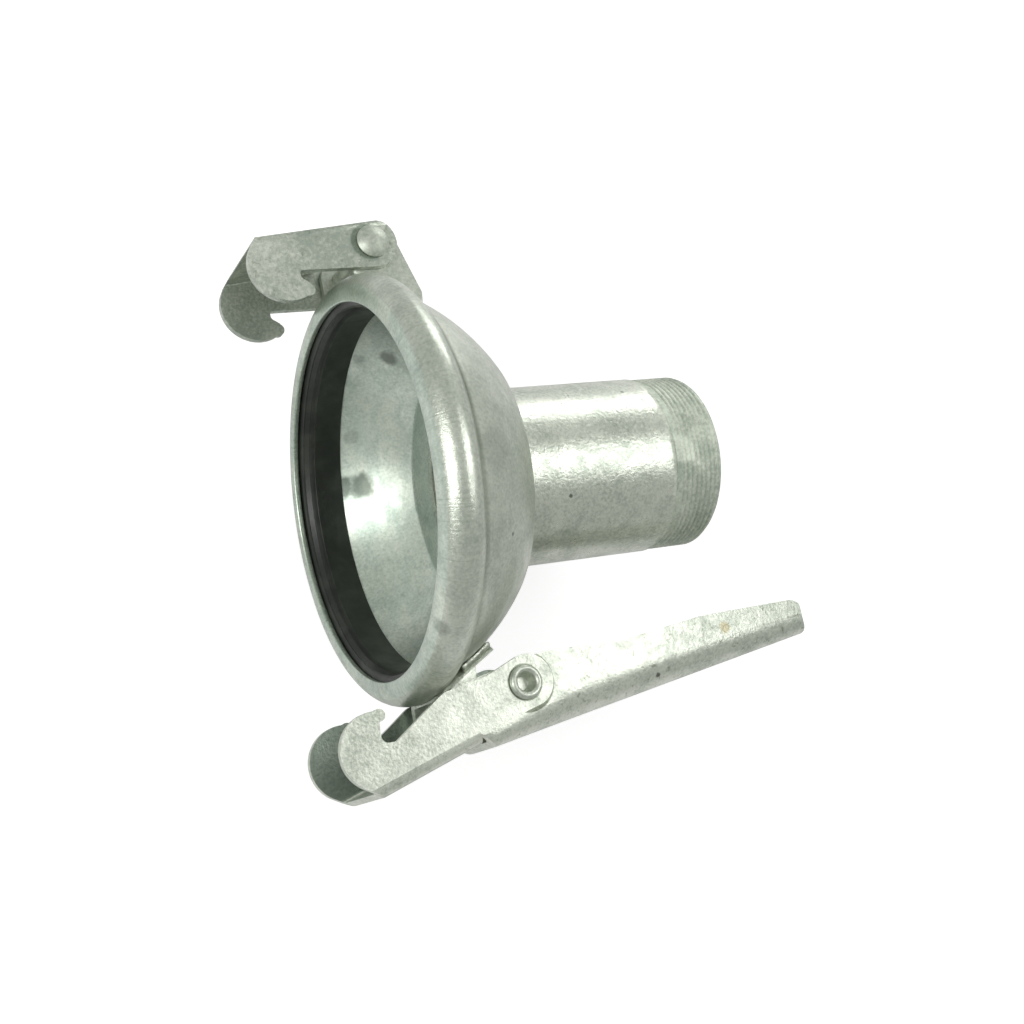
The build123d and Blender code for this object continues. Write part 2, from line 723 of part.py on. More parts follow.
with BuildPart() as link_hook:
    link_plane = web_plane(link_foot, 180 + link_angle)
    link_fold = channel_section(link_plane, link_half_width, link_cheek_depth, link_bend)
    extrude(link_fold, amount=link_length, both=True)
    with BuildSketch(Plane.XY) as outline:
        with Locations(pair(link_head)):
            Circle(link_head_radius)
        with Locations(pair(link_eye)):
            Circle(link_eye_radius)
        with BuildLine():
            Polyline(
                pair(tangent_point(link_head, link_head_radius, link_front, -1)),
                pair(link_front),
                pair(link_point(link_web_rear, -link_web_drop - trim_margin)),
                pair(link_point(link_web_rear, -link_cheek_drop)),
                pair(link_point(-link_eye_back, -link_cheek_drop)),
                pair(link_point(-link_eye_back, link_eye_radius)),
                pair(link_shoulder),
                pair(link_neck),
                pair(notch_rear),
                pair(notch_front),
                pair(link_head),
                close=True,
            )
        make_face()
        with BuildLine():
            Polyline(
                pair(notch_front),
                pair(notch_rear),
                pair(link_neck),
                pair(link_point(link_neck_forward, notch_open_up)),
                pair(link_point(link_tip_forward, notch_open_up)),
                pair(link_point(link_tip_forward, link_tip_up)),
                close=True,
            )
        make_face(mode=Mode.SUBTRACT)
        with BuildLine():
            Polyline(
                pair(link_point(link_web_rear, -link_cheek_drop)),
                pair(link_point(link_tail, -link_cheek_drop)),
                pair(link_point(link_tail, -2 * link_web_drop)),
                pair(link_point(link_web_rear, -2 * link_web_drop)),
                close=True,
            )
        make_face(mode=Mode.SUBTRACT)
        fillet(corner(outline, link_front), radius=link_front_rounding)
        fillet(corner(outline, link_neck), radius=link_neck_radius)
        fillet(corner(outline, link_shoulder), radius=link_shoulder_radius)
        fillet([corner(outline, notch_front), corner(outline, notch_rear)], radius=link_notch_radius)
        with Locations(pair(link_point(link_tip_forward, link_tip_up))):
            Circle(link_tip_radius)
    extrude(amount=link_half_width, both=True, mode=Mode.INTERSECT)
    for level in (link_inner, -link_half_width):
        with BuildSketch(Plane.XY.offset(level)):
            with Locations(pair(link_eye)):
                Circle(link_eye_radius)
            with BuildLine():
                Polyline(
                    pair(link_eye),
                    pair(link_point(-link_eye_back, -link_eye_radius)),
                    pair(link_point(link_web_rear, -link_edge_drop)),
                    pair(link_point(link_web_rear, 0)),
                    close=True,
                )
            make_face()
        extrude(amount=sheet)
    with Locations(Plane.XY.offset(link_half_width)):
        with Locations(pair(link_pivot)):
            Hole(link_rivet_radius + pin_clearance)
link_hook.part.label = "link_hook"
export_step(link_hook.part, "parts/link_hook.step")

# Tubular rivet of the link: a rolled rim round its bore on one side, a low solid head on the other
rim_seat = link_half_width + head_gap
rim_top = rim_seat + link_rivet_head_height
rim_edge = rim_seat + link_rivet_rim_edge
rim_middle = (link_rivet_head_radius + link_rivet_bore_radius) / 2
bore_floor = rim_top - link_rivet_bore_depth
low_rise = link_rivet_head_height - link_rivet_rim_edge
low_dome_radius = (link_rivet_head_radius ** 2 + low_rise ** 2) / (2 * low_rise)
low_dome_start = degrees(acos(link_rivet_head_radius / low_dome_radius))

with BuildPart() as link_rivet:
    with BuildSketch(upright(link_pivot)):
        with BuildLine():
            rolled = ThreePointArc(
                (link_rivet_head_radius, rim_edge),
                (rim_middle, rim_top),
                (link_rivet_bore_radius, rim_edge),
            )
            low = CenterArc((0, low_dome_radius - rim_top), low_dome_radius, 270, 90 - low_dome_start)
            Polyline(rolled @ 1, (link_rivet_foot_radius, bore_floor), (0, bore_floor), low @ 0)
            Polyline(
                low @ 1,
                (link_rivet_head_radius, -rim_seat),
                (link_rivet_radius, -rim_seat),
                (link_rivet_radius, rim_seat),
                (link_rivet_head_radius, rim_seat),
                rolled @ 0,
            )
        make_face()
    revolve(axis=hinge_axis(link_pivot))
link_rivet.part.label = "link_rivet"
export_step(link_rivet.part, "parts/link_rivet.step")
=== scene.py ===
import json
import math

import bpy
from mathutils import Matrix, Vector


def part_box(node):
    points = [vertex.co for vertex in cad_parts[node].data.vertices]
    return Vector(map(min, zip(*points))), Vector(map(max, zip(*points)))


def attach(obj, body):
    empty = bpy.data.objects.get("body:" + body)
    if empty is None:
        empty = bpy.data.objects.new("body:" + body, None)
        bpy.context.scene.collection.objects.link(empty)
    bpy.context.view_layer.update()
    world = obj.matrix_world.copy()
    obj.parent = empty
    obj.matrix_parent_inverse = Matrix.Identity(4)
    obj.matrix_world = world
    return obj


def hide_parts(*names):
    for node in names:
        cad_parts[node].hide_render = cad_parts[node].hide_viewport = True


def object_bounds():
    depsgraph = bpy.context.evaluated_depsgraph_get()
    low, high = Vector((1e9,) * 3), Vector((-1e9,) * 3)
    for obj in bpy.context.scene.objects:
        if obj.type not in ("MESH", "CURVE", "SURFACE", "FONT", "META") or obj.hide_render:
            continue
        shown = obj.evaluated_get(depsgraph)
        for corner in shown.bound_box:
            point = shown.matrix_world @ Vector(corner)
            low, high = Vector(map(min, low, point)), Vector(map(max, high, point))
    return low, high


bl_info = {
    "name": "Galvanised Lever Coupling",
    "version": (1, 0, 0),
    "blender": (4, 5, 0),
    "location": "View3D > Sidebar > Coupling",
    "description": "Dresses the socket half of an irrigation coupling in zinc and rubber",
    "category": "Object",
}

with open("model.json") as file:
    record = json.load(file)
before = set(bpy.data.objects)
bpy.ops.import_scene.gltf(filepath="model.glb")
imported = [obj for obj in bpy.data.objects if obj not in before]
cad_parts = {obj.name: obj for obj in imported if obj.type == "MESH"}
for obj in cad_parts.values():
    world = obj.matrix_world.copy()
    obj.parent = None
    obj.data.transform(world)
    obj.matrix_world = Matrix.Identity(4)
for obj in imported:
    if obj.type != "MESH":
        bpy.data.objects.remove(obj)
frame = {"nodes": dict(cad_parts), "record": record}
solid_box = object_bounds()

# Pipe and thread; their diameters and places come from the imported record
PIPE_LOW, PIPE_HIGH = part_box("threaded_pipe")
MOUNTS = {mount["name"]: mount for mount in frame["record"]["mounts"]}
THREAD = MOUNTS["male_thread"]
THREAD_CREST = THREAD["dims"]["r_mm"] / 1000
THREAD_START = THREAD["pos_m"][0] - THREAD["dims"]["length_mm"] / 2000
PIPE_BORE = MOUNTS["pipe_bore"]["dims"]["r_mm"] / 1000
PIPE_STEPS = 160
CHAMFER = 0.0014
RUN_OUT = 0.0035
RIDGE_SINK = 0.0003
RIDGE_SHARE = 0.94
RIDGE_PIECES = 8
RIDGE_TURNS = 13
SLIVER = 0.000005

# Zinc: the width of each pattern and the depth of its relief
CLOUD_WIDTH = 0.038
CLOUD_DEPTH = 0.00045
MOTTLE_WIDTH = 0.0085
MOTTLE_DEPTH = 0.00014
GRAIN_DEPTH = 0.000080
RUN_WIDTH = 0.0030
PIT_SPACING = 0.020
PIT_RADIUS = 0.0006
PIT_DEPTH = 0.0002
PIT_SHARE = 0.22

# Shades that the zinc is multiplied by
FLECK_SHADE = (0.48, 0.51, 0.44)
GROOVE_SHADE = (0.95, 0.98, 0.97)
BRUSHED_SHADE = (0.86, 0.88, 0.86)
# Painted shade in the crease behind the bead
SEAM_PAINTED_SHADE = (0.38, 0.41, 0.36)
INSIDE_CLOUDS = (0.89, 0.93, 0.93)
# Painted light inside the bowl
INSIDE_PAINTED_LIGHT = (1.12, 1.15, 1.15)
# Painted shade on the bottom of the bowl
BOTTOM_PAINTED_SHADE = (0.94, 0.98, 0.97)
# Painted shade on the lever round the link's eye
LEVER_PAINTED_SHADE = (0.34, 0.36, 0.31)
# Painted shade round the link's rivet head
RIVET_PAINTED_SHADE = (0.42, 0.45, 0.40)
# Painted shade on the link's inner faces
LINK_INNER_PAINTED_SHADE = (0.45, 0.50, 0.48)
WEB_SHADE = (0.66, 0.69, 0.65)
# Painted shadow beside the hook's rivet head
CRESCENT_PAINTED_SHADOW = (0.50, 0.54, 0.50)

# Bowl, along the pipe axis from the mouth plane and out from the axis
BEAD_BACK = 0.0105
SEAM = (0.0168, 0.0820, 0)
BOWL_CENTRE = (-0.0147, 0, 0)
BOWL_INNER = 0.0840
BOTTOM_FRONT = 0.0488
BOTTOM_RADIUS = 0.0545

# Hinges, as (x, y), and the height of the hook's web on a line leaning with it
HOOK_PIVOT = (0.0184, 0.0990)
HOOK_LEAN = math.radians(6.9)
HOOK_WEB_RISE = 0.0100
HOOK_WEB_FACE = (HOOK_PIVOT[1] * math.cos(HOOK_LEAN) - HOOK_PIVOT[0] * math.sin(HOOK_LEAN)
                 + HOOK_WEB_RISE)
LINK_PIVOT = (0.0465, -0.0881)
LINK_EYE = (0.0484, -0.0875)
LINK_INNER_FACE = 0.0174

# Studio: the floor's grey and its own glow make plain white together
FLOOR_SIZE = 12
FLOOR_COLOUR = (0.60, 0.60, 0.60, 1)
FLOOR_GLOW = 0.64
FLOOR_MIRRORED = 0.35
ROOM_RADIUS = 4
SKY_LIGHT = 0.55
WHITE = (1, 1, 1, 1)
LIT_POINT = (0.06, 0, 0)
LAMPS = (
    ("front_softbox", (0.394, -0.01, 0.55), (0.30, 0.25), "front_lamp"),
    ("top_softbox", (0.41, 0.53, 0.15), (0.30, 0.18), "top_lamp"),
    ("left_softbox", (-0.43, -0.03, 0.42), (0.24, 0.45), "left_lamp"),
)

FOLDED_SHEETS = ("hook_bracket", "lever_bracket", "swing_hook", "lever", "link_hook")
WELD_BEADS = ("pipe_weld", "hook_bracket_welds", "lever_bracket_welds")
RIVETS = ("hook_rivet", "lever_pin", "link_rivet")


class ZincSettings(bpy.types.PropertyGroup):
    """Colours and grain of the hot-dip coating."""

    dark: bpy.props.FloatVectorProperty(
        name="Dark zinc", description="Colour of the dull patches", subtype="COLOR",
        size=3, min=0, max=1, default=(0.375, 0.42, 0.36))
    light: bpy.props.FloatVectorProperty(
        name="Light zinc", description="Colour of the bright crystals", subtype="COLOR",
        size=3, min=0, max=1, default=(0.735, 0.765, 0.675))
    stain: bpy.props.FloatVectorProperty(
        name="Stain", description="Colour of the yellowish flux stains", subtype="COLOR",
        size=3, min=0, max=1, default=(0.42, 0.37, 0.22))
    soot: bpy.props.FloatVectorProperty(
        name="Pit", description="Colour inside the small dark pits", subtype="COLOR",
        size=3, min=0, max=1, default=(0.13, 0.145, 0.12))
    grain: bpy.props.FloatProperty(
        name="Grain size", description="Width of one fine zinc grain", subtype="DISTANCE",
        unit="LENGTH", min=0.0002, max=0.01, default=0.0013)
    edge: bpy.props.FloatProperty(
        name="Edge softness", description="How far the coating rounds a cut edge",
        subtype="DISTANCE", unit="LENGTH", min=0.0001, max=0.001, default=0.00045)


class ThreadSettings(bpy.types.PropertyGroup):
    """Shape of the pipe thread."""

    pitch: bpy.props.FloatProperty(
        name="Pitch", description="Distance between two crests", subtype="DISTANCE",
        unit="LENGTH", min=0.001, max=0.006, default=0.002309)
    depth: bpy.props.FloatProperty(
        name="Depth", description="Height of the ridge", subtype="DISTANCE",
        unit="LENGTH", min=0.0003, max=0.003, default=0.0007)
    steps: bpy.props.IntProperty(
        name="Steps", description="Straight pieces in one turn", min=24, max=256, default=144)


class RubberSettings(bpy.types.PropertyGroup):
    """Colours of the lip seal."""

    black: bpy.props.FloatVectorProperty(
        name="Rubber", description="Colour of the rubber", subtype="COLOR",
        size=3, min=0, max=1, default=(0.0110, 0.0132, 0.0106))
    dust: bpy.props.FloatVectorProperty(
        name="Bloom", description="Colour of the dusty bloom on the rubber", subtype="COLOR",
        size=3, min=0, max=1, default=(0.035, 0.039, 0.031))


class StudioSettings(bpy.types.PropertyGroup):
    """Camera, lamps and surroundings."""

    eye: bpy.props.FloatVectorProperty(
        name="Camera place", description="Where the camera stands", subtype="TRANSLATION",
        size=3, default=(-0.2229, -0.1372, 0.5624))
    sight: bpy.props.FloatVectorProperty(
        name="Line of sight", description="Direction in which the camera looks", subtype="XYZ",
        size=3, default=(0.44991, 0.18994, -0.87264))
    upward: bpy.props.FloatVectorProperty(
        name="Camera top", description="Direction that is up in the picture", subtype="XYZ",
        size=3, default=(0.10115, 0.96000, 0.26110))
    lens: bpy.props.FloatProperty(
        name="Lens", description="Focal length", subtype="DISTANCE_CAMERA",
        unit="CAMERA", min=20, max=200, default=53.75)
    surround: bpy.props.FloatProperty(
        name="Room tone", description="Brightness of the room that the metal mirrors",
        min=0, max=1, default=0.50)
    front_lamp: bpy.props.FloatProperty(
        name="Front lamp", description="Power of the softbox on the camera's right",
        subtype="POWER", unit="POWER", min=0, max=20, default=0.76)
    top_lamp: bpy.props.FloatProperty(
        name="Top lamp", description="Power of the softbox beyond the swing hook",
        subtype="POWER", unit="POWER", min=0, max=20, default=0.74)
    left_lamp: bpy.props.FloatProperty(
        name="Left lamp", description="Power of the softbox that looks into the bowl",
        subtype="POWER", unit="POWER", min=0, max=20, default=1.6)


# Shader building


def node(tree, kind, inputs=None, **settings):
    """Adds a shader node, sets its fields, and fills or links its inputs."""
    made = tree.nodes.new("ShaderNode" + kind)
    for key, value in settings.items():
        setattr(made, key, value)
    for key, value in (inputs or {}).items():
        if isinstance(value, bpy.types.NodeSocket):
            tree.links.new(value, made.inputs[key])
        else:
            made.inputs[key].default_value = value
    return made


def math_node(tree, operation, first, second=0.0, clamp=False):
    """One step of arithmetic on numbers or sockets."""
    made = node(tree, "Math", {0: first, 1: second}, operation=operation, use_clamp=clamp)
    return made.outputs[0]


def times(tree, first, second):
    """Product of two numbers or sockets."""
    return math_node(tree, "MULTIPLY", first, second)


def plus(tree, first, second):
    """Sum of two numbers or sockets."""
    return math_node(tree, "ADD", first, second)


def mix(tree, factor, first, second, blend="MIX"):
    """Mixes two colours, given as sockets or as tuples."""
    made = tree.nodes.new("ShaderNodeMix")
    made.data_type = "RGBA"
    made.blend_type = blend
    for index, value in ((0, factor), (6, first), (7, second)):
        slot = made.inputs[index]
        if isinstance(value, bpy.types.NodeSocket):
            tree.links.new(value, slot)
        elif isinstance(value, (int, float)):
            slot.default_value = value
        else:
            slot.default_value = (*value, 1.0)
    return made.outputs[2]


def spread(tree, value, low, high, to_low=0.0, to_high=1.0):
    """Maps a range of a pattern onto another range, held inside it."""
    made = node(tree, "MapRange", {0: value, 1: low, 2: high, 3: to_low, 4: to_high})
    made.interpolation_type = "SMOOTHSTEP"
    return made.outputs[0]


def distance(tree, place, point):
    """Distance from a point."""
    return node(tree, "VectorMath", {0: place, 1: point}, operation="DISTANCE").outputs["Value"]


def noise(tree, place, size, detail=3.0, roughness=0.55, distortion=0.0, offset=0.0):
    """Cloudy pattern whose patches are about the given size in metres."""
    aside = (offset, offset * 0.7, -offset)
    moved = node(tree, "Mapping", {"Vector": place, "Location": aside}).outputs[0]
    made = node(tree, "TexNoise", {"Vector": moved, "Scale": 1 / size, "Detail": detail,
                                   "Roughness": roughness, "Distortion": distortion})
    return made.outputs["Fac"]


def dots(tree, place, spacing, radius, share):
    """Mask of scattered small spots, with only a share of the cells holding one."""
    cells = node(tree, "TexVoronoi", {"Vector": place, "Scale": 1 / spacing})
    lot = node(tree, "SeparateColor", {0: cells.outputs["Color"]}).outputs[1]
    chosen = math_node(tree, "LESS_THAN", lot, share)
    near = spread(tree, cells.outputs["Distance"], radius / spacing, 0.35 * radius / spacing)
    return times(tree, chosen, near)


def patch(tree, place, centre, reach, ragged=0.45):
    """Mask of one blot with a ragged edge round a point."""
    away = distance(tree, place, centre)
    wander = noise(tree, place, reach * 0.7, detail=5)
    edge = times(tree, math_node(tree, "SUBTRACT", wander, 0.5), reach * ragged * 2.5)
    return spread(tree, plus(tree, away, edge), reach, reach * 0.45)


def bump(tree, height, depth, under=None):
    """Relief of a pattern, laid over another."""
    made = node(tree, "Bump", {"Height": height, "Distance": depth, "Strength": 1.0})
    if under is not None:
        tree.links.new(under, made.inputs["Normal"])
    return made.outputs[0]


def calm(tree, mask, surface):
    """Takes relief away inside a mask."""
    return mix(tree, mask, surface, node(tree, "NewGeometry").outputs["Normal"])


def zinc(name, tone=0.0, contrast=1.0, relief=1.0, rough=0.34, sparkle=1.0, flecks=0.2,
         blots=(), scars=(), zone=None):
    """Hot-dip galvanised steel: cloudy tone, fine grain, pits and stains."""
    look = bpy.context.scene.coupling_zinc
    material = bpy.data.materials.new(name)
    material.use_nodes = True
    tree = material.node_tree
    shader = tree.nodes["Principled BSDF"]
    place = node(tree, "TexCoord").outputs["Object"]

    clouds = noise(tree, place, CLOUD_WIDTH, detail=3, roughness=0.55, distortion=0.3)
    mottle = noise(tree, place, MOTTLE_WIDTH, detail=5, roughness=0.6, distortion=0.6, offset=0.3)
    fine = noise(tree, place, look.grain, detail=2, roughness=0.6, offset=0.7)
    runs = noise(tree, place, RUN_WIDTH, detail=4, roughness=0.7, distortion=0.8, offset=0.11)

    total = times(tree, clouds, 0.34)
    for pattern, share in ((mottle, 0.30), (fine, 0.36)):
        total = plus(tree, total, times(tree, pattern, share))
    middle = 0.5 - tone
    half = 0.20 / contrast
    lightness = spread(tree, total, middle - half, middle + half)
    colour = mix(tree, lightness, look.dark, look.light)
    colour = tint(tree, spread(tree, runs, 0.58, 0.67, 0.0, flecks), colour, FLECK_SHADE)
    for centre, reach, depth in blots:
        mask = times(tree, patch(tree, place, centre, reach), depth)
        colour = mix(tree, mask, colour, look.stain)
    for centre, reach, depth in scars:
        mask = times(tree, patch(tree, place, centre, reach, ragged=0.35), depth)
        colour = mix(tree, mask, colour, look.soot)
    pits = dots(tree, place, PIT_SPACING, PIT_RADIUS, PIT_SHARE)
    colour = mix(tree, times(tree, pits, 0.6), colour, look.soot)
    gloss = spread(tree, mottle, 0.32, 0.68, rough + 0.05, rough - 0.05)
    gloss = plus(tree, gloss, times(tree, fine, 0.06))
    surface = bump(tree, clouds, CLOUD_DEPTH * relief)
    surface = bump(tree, mottle, MOTTLE_DEPTH * relief, surface)
    surface = bump(tree, fine, GRAIN_DEPTH * sparkle, surface)
    surface = bump(tree, math_node(tree, "SUBTRACT", 1.0, pits), PIT_DEPTH, surface)
    if zone is not None:
        colour, gloss, surface = zone(tree, place, colour, gloss, surface)

    tree.links.new(colour, shader.inputs["Base Color"])
    tree.links.new(gloss, shader.inputs["Roughness"])
    tree.links.new(surface, shader.inputs["Normal"])
    shader.inputs["Metallic"].default_value = 0.82
    shader.inputs["Specular IOR Level"].default_value = 0.4
    return material


def tint(tree, mask, colour, shade):
    """Multiplies a colour by a shade inside a mask."""
    return mix(tree, mask, colour, shade, blend="MULTIPLY")


def ring(tree, place, centre, inner, outer, blur=0.0004):
    """Mask of a ring about a line along Z, given in metres from its centre."""
    flat = node(tree, "VectorMath", {0: place, 1: (1, 1, 0)}, operation="MULTIPLY").outputs[0]
    away = distance(tree, flat, (*centre, 0))
    inside = spread(tree, away, outer + blur, outer)
    return times(tree, spread(tree, away, inner - blur, inner), inside)


def from_axis(tree, y, z):
    """Distance from the pipe axis."""
    across = node(tree, "CombineXYZ", {1: y, 2: z}).outputs[0]
    return node(tree, "VectorMath", {0: across}, operation="LENGTH").outputs["Value"]


def threaded_end(tree, place, colour, gloss, surface):
    """Duller, smoother metal where the thread has been cut, a little darker in the grooves."""
    x, y, z = node(tree, "SeparateXYZ", {0: place}).outputs
    cut = spread(tree, x, THREAD_START - 0.0030, THREAD_START - 0.0020)
    groove = spread(tree, from_axis(tree, y, z), THREAD_CREST - 0.0001, THREAD_CREST - 0.0006)
    colour = tint(tree, times(tree, groove, cut), colour, GROOVE_SHADE)
    gloss = plus(tree, gloss, times(tree, cut, 0.30))
    return colour, gloss, calm(tree, times(tree, cut, 0.8), surface)


def bowl_zones(tree, place, colour, gloss, surface):
    """Brushed bead, painted shade behind it, a smoother inside with painted light, a duller bottom
    with painted shade.
    """
    x, y, z = node(tree, "SeparateXYZ", {0: place}).outputs
    reach = from_axis(tree, y, z)
    turn = math_node(tree, "ARCTAN2", z, y)
    packed = times(tree, turn, 85.0)
    streaks = node(tree, "TexNoise", {"W": packed, "Scale": 1.0, "Detail": 3.0, "Roughness": 0.7},
                   noise_dimensions="1D").outputs["Fac"]
    bead = spread(tree, x, BEAD_BACK, BEAD_BACK - 0.002)
    brushed = times(tree, math_node(tree, "SUBTRACT", streaks, 0.5), bead)
    surface = bump(tree, brushed, 0.00005, surface)
    scuffs = noise(tree, place, 0.0016, detail=3, roughness=0.7, offset=0.4)
    surface = bump(tree, times(tree, scuffs, bead), 0.00009, surface)
    colour = tint(tree, spread(tree, brushed, 0.0, -0.25), colour, BRUSHED_SHADE)

    # Painted shade in the crease where the bead meets the bowl, stronger towards +y
    profile = node(tree, "CombineXYZ", {0: x, 1: reach}).outputs[0]
    gap = distance(tree, profile, SEAM)
    faded = spread(tree, y, -0.030, 0.035, 0.45, 1.0)
    crease_shade = times(tree, spread(tree, gap, 0.0050, 0.0024), faded)
    colour = tint(tree, crease_shade, colour, SEAM_PAINTED_SHADE)

    from_centre = distance(tree, place, BOWL_CENTRE)
    within = spread(tree, from_centre, BOWL_INNER + 0.0016, BOWL_INNER + 0.0010)
    before_bottom = spread(tree, x, BOTTOM_FRONT + 0.0018, BOTTOM_FRONT + 0.0012)
    inside = times(tree, within, before_bottom)
    surface = calm(tree, times(tree, inside, 0.55), surface)
    drawn_out = node(tree, "Mapping", {"Vector": place, "Scale": (2.4, 0.7, 1.0)}).outputs[0]
    drift = noise(tree, drawn_out, 0.016, detail=4, roughness=0.6, distortion=0.8, offset=0.5)
    clouded = times(tree, inside, spread(tree, drift, 0.60, 0.40))
    colour = tint(tree, clouded, colour, INSIDE_CLOUDS)
    # Painted light: the inside is made lighter than the rest of the bowl
    colour = tint(tree, inside, colour, INSIDE_PAINTED_LIGHT)

    behind = spread(tree, x, BOTTOM_FRONT - 0.0009, BOTTOM_FRONT - 0.0002)
    bottom = times(tree, behind, spread(tree, reach, BOTTOM_RADIUS + 0.0015, BOTTOM_RADIUS))
    # Painted shade darkens the bottom
    colour = tint(tree, bottom, colour, BOTTOM_PAINTED_SHADE)
    gloss = plus(tree, gloss, times(tree, bottom, 0.15))
    return colour, gloss, surface


def lever_zones(tree, place, colour, gloss, surface):
    """Painted shade on the lever along the eye of the link."""
    # Painted shade on the lever round the link's eye
    edge = ring(tree, place, LINK_EYE, 0.0100, 0.0122, blur=0.0006)
    return tint(tree, edge, colour, LEVER_PAINTED_SHADE), gloss, surface


def link_zones(tree, place, colour, gloss, surface):
    """Painted shade round the rivet head and on the inner faces."""
    # Painted shade round the rivet head
    colour = tint(tree, ring(tree, place, LINK_PIVOT, 0.0066, 0.0073), colour, RIVET_PAINTED_SHADE)
    # Painted shade on the inner faces of the cheeks
    height = math_node(tree, "ABSOLUTE", node(tree, "SeparateXYZ", {0: place}).outputs[2])
    above = spread(tree, height, LINK_INNER_FACE - 0.0003, LINK_INNER_FACE - 0.0001)
    below = spread(tree, height, LINK_INNER_FACE + 0.0004, LINK_INNER_FACE + 0.0002)
    inner = times(tree, above, below)
    return tint(tree, inner, colour, LINK_INNER_PAINTED_SHADE), gloss, surface


def hook_zones(tree, place, colour, gloss, surface):
    """Painted shadow beside the rivet head, and a dull, pitted web."""
    across = (-math.sin(HOOK_LEAN), math.cos(HOOK_LEAN), 0)
    rise = node(tree, "VectorMath", {0: place, 1: across}, operation="DOT_PRODUCT")
    web = spread(tree, rise.outputs["Value"], HOOK_WEB_FACE - 0.0032, HOOK_WEB_FACE - 0.0004)
    gloss = plus(tree, gloss, times(tree, web, 0.20))
    grit = noise(tree, place, 0.0014, detail=3, roughness=0.7, offset=0.9)
    pitted = times(tree, web, spread(tree, grit, 0.35, 0.65))
    colour = tint(tree, pitted, colour, WEB_SHADE)
    # Painted shadow on the -x side of the rivet head
    rivet_shadow = ring(tree, place, (HOOK_PIVOT[0] - 0.0017, HOOK_PIVOT[1]), 0.0, 0.0071, blur=0.0012)
    return tint(tree, rivet_shadow, colour, CRESCENT_PAINTED_SHADOW), gloss, surface


def dress(target, material):
    """Gives a piece one material."""
    target.data.materials.clear()
    target.data.materials.append(material)


# Modelling helpers


def only(target):
    """Selects one object alone and makes it active."""
    bpy.ops.object.select_all(action="DESELECT")
    target.select_set(True)
    bpy.context.view_layer.objects.active = target


def finish_modifiers(target):
    """Applies every modifier of a new piece."""
    only(target)
    for modifier in list(target.modifiers):
        bpy.ops.object.modifier_apply(modifier=modifier.name)


def start_outline(name, points):
    """A chain of edges drawn through points given as (x, radius), in the XY plane."""
    bpy.ops.object.select_all(action="DESELECT")
    bpy.ops.mesh.primitive_plane_add(size=0.001, location=(0, 0, 0))
    drawn = bpy.context.object
    drawn.name = name
    bpy.ops.object.mode_set(mode="EDIT")
    bpy.ops.mesh.select_all(action="SELECT")
    bpy.ops.mesh.merge(type="CENTER")
    bpy.ops.transform.translate(value=(points[0][0], points[0][1], 0))
    for last, new in zip(points, points[1:]):
        bpy.ops.mesh.extrude_region_move(
            TRANSFORM_OT_translate={"value": (new[0] - last[0], new[1] - last[1], 0)})
    return drawn


def lathe(name, points, steps):
    """Turns a closed outline about the pipe axis into a closed piece."""
    made = start_outline(name, [*points, points[0]])
    bpy.ops.mesh.select_all(action="SELECT")
    bpy.ops.mesh.spin(steps=steps, angle=2 * math.pi, center=(0, 0, 0), axis=(1, 0, 0))
    bpy.ops.mesh.select_all(action="SELECT")
    bpy.ops.mesh.remove_doubles(threshold=0.00001)
    bpy.ops.mesh.normals_make_consistent(inside=False)
    bpy.ops.object.mode_set(mode="OBJECT")
    return made


def combine(target, other, operation):
    """Boolean of two new pieces; the second one is used up."""
    cut = target.modifiers.new("combine", "BOOLEAN")
    cut.operation = operation
    cut.object = other
    cut.solver = "EXACT"
    finish_modifiers(target)
    only(other)
    bpy.ops.object.delete()
    only(target)


def clean(target):
    """Takes out the slivers that a boolean leaves."""
    only(target)
    bpy.ops.object.mode_set(mode="EDIT")
    bpy.ops.mesh.select_all(action="SELECT")
    bpy.ops.mesh.remove_doubles(threshold=SLIVER)
    bpy.ops.mesh.quads_convert_to_tris()
    bpy.ops.mesh.dissolve_degenerate(threshold=SLIVER)
    bpy.ops.object.mode_set(mode="OBJECT")


def soften(target, width, segments=2, limit=35, live=False):
    """Rounds the sharp edges of a piece."""
    round_off = target.modifiers.new("soft edges", "BEVEL")
    round_off.width = width
    round_off.segments = segments
    round_off.limit_method = "ANGLE"
    round_off.angle_limit = math.radians(limit)
    round_off.harden_normals = False
    if not live:
        finish_modifiers(target)


def smooth(target, limit=30):
    """Smooth shading that keeps the edges sharper than the limit."""
    only(target)
    bpy.ops.object.shade_smooth_by_angle(angle=math.radians(limit))


